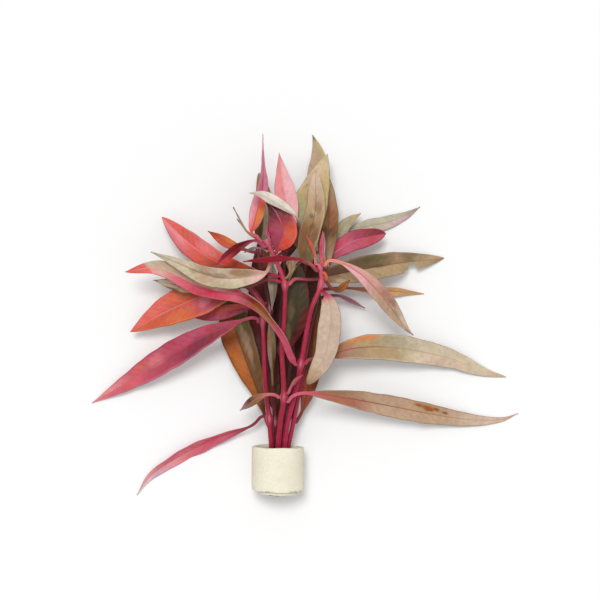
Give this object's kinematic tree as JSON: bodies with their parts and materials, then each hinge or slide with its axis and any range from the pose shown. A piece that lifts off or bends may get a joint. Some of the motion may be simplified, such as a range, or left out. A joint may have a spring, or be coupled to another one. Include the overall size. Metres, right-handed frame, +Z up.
{
  "type": "alternanthera bunch in a foam collar",
  "caption": "Cut bunch of red and olive alternanthera stems with long pointed leaves, lying on its side, its stem ends held in a rolled foam strip.",
  "frame": {"origin": "on the surface that the bunch lies on, under the middle of its bounding box", "axes": "+X across the bunch to the right as seen from above, +Y along the stems from the foam to their tips, +Z up"},
  "size_m": [0.2132, 0.1802, 0.0501],
  "materials": {
    "foam_cream": "matte soft foam",
    "stem_crimson": "smooth satin plant stem",
    "leaf_magenta": "satin leaf",
    "leaf_coral": "satin leaf",
    "leaf_pink": "satin leaf",
    "leaf_crimson": "satin leaf",
    "leaf_ochre": "satin leaf",
    "leaf_olive": "satin leaf",
    "leaf_tan": "satin leaf",
    "leaf_green": "satin leaf"
  },
  "bodies": {
    "root": {"foam_collar": "foam_cream", "stem_left": "stem_crimson", "stem_middle": "stem_crimson", "stem_right": "stem_crimson", "stem_right_thin": "stem_crimson", "stem_left_back": "stem_crimson", "stem_back": "stem_crimson", "stem_under": "stem_crimson", "leaf_left_magenta": "leaf_magenta", "leaf_low_left_ribbon": "leaf_pink", "leaf_left_orange": "leaf_coral", "leaf_left_rose": "leaf_coral", "leaf_left_dark_tip": "leaf_olive", "leaf_left_long": "leaf_tan", "leaf_left_pale": "leaf_tan", "leaf_upper_left_coral": "leaf_coral", "leaf_upper_left_orange": "leaf_coral", "leaf_maroon_arch": "leaf_crimson", "leaf_small_lilac": "leaf_tan", "leaf_dry_long": "leaf_olive", "leaf_dry_short": "leaf_olive", "leaf_small_brown": "leaf_tan", "leaf_small_strip": "leaf_pink", "leaf_back_ochre": "leaf_ochre", "leaf_back_narrow": "leaf_olive", "leaf_top_pink": "leaf_pink", "leaf_top_brown": "leaf_olive", "leaf_top_crimson": "leaf_crimson", "leaf_top_folded": "leaf_tan", "leaf_top_salmon": "leaf_pink", "leaf_top_far": "leaf_olive", "leaf_top_olive": "leaf_tan", "leaf_top_tan": "leaf_olive", "leaf_top_right_brown": "leaf_olive", "leaf_crimson_edge": "leaf_crimson", "leaf_green_edge": "leaf_green", "leaf_small_tan": "leaf_tan", "leaf_tip_orange": "leaf_coral", "leaf_tip_red": "leaf_coral", "leaf_tip_lilac": "leaf_tan", "leaf_tip_low": "leaf_coral", "leaf_tip_pink": "leaf_pink", "leaf_tip_rose": "leaf_pink", "leaf_back_dark_green": "leaf_green", "leaf_back_right_green": "leaf_green", "leaf_pale_hanging": "leaf_tan", "leaf_right_short": "leaf_tan", "leaf_right_grey_green": "leaf_olive", "leaf_right_crimson": "leaf_crimson", "leaf_right_olive": "leaf_olive", "leaf_right_orange": "leaf_ochre", "leaf_right_pink": "leaf_pink", "leaf_right_purple": "leaf_pink", "leaf_right_ochre": "leaf_ochre", "leaf_lower_right": "leaf_tan", "leaf_bottom_right": "leaf_tan", "leaf_under_top": "leaf_olive", "leaf_under_middle": "leaf_olive", "leaf_under_left": "leaf_crimson", "leaf_under_stems": "leaf_crimson"}
  },
  "joints": []
}
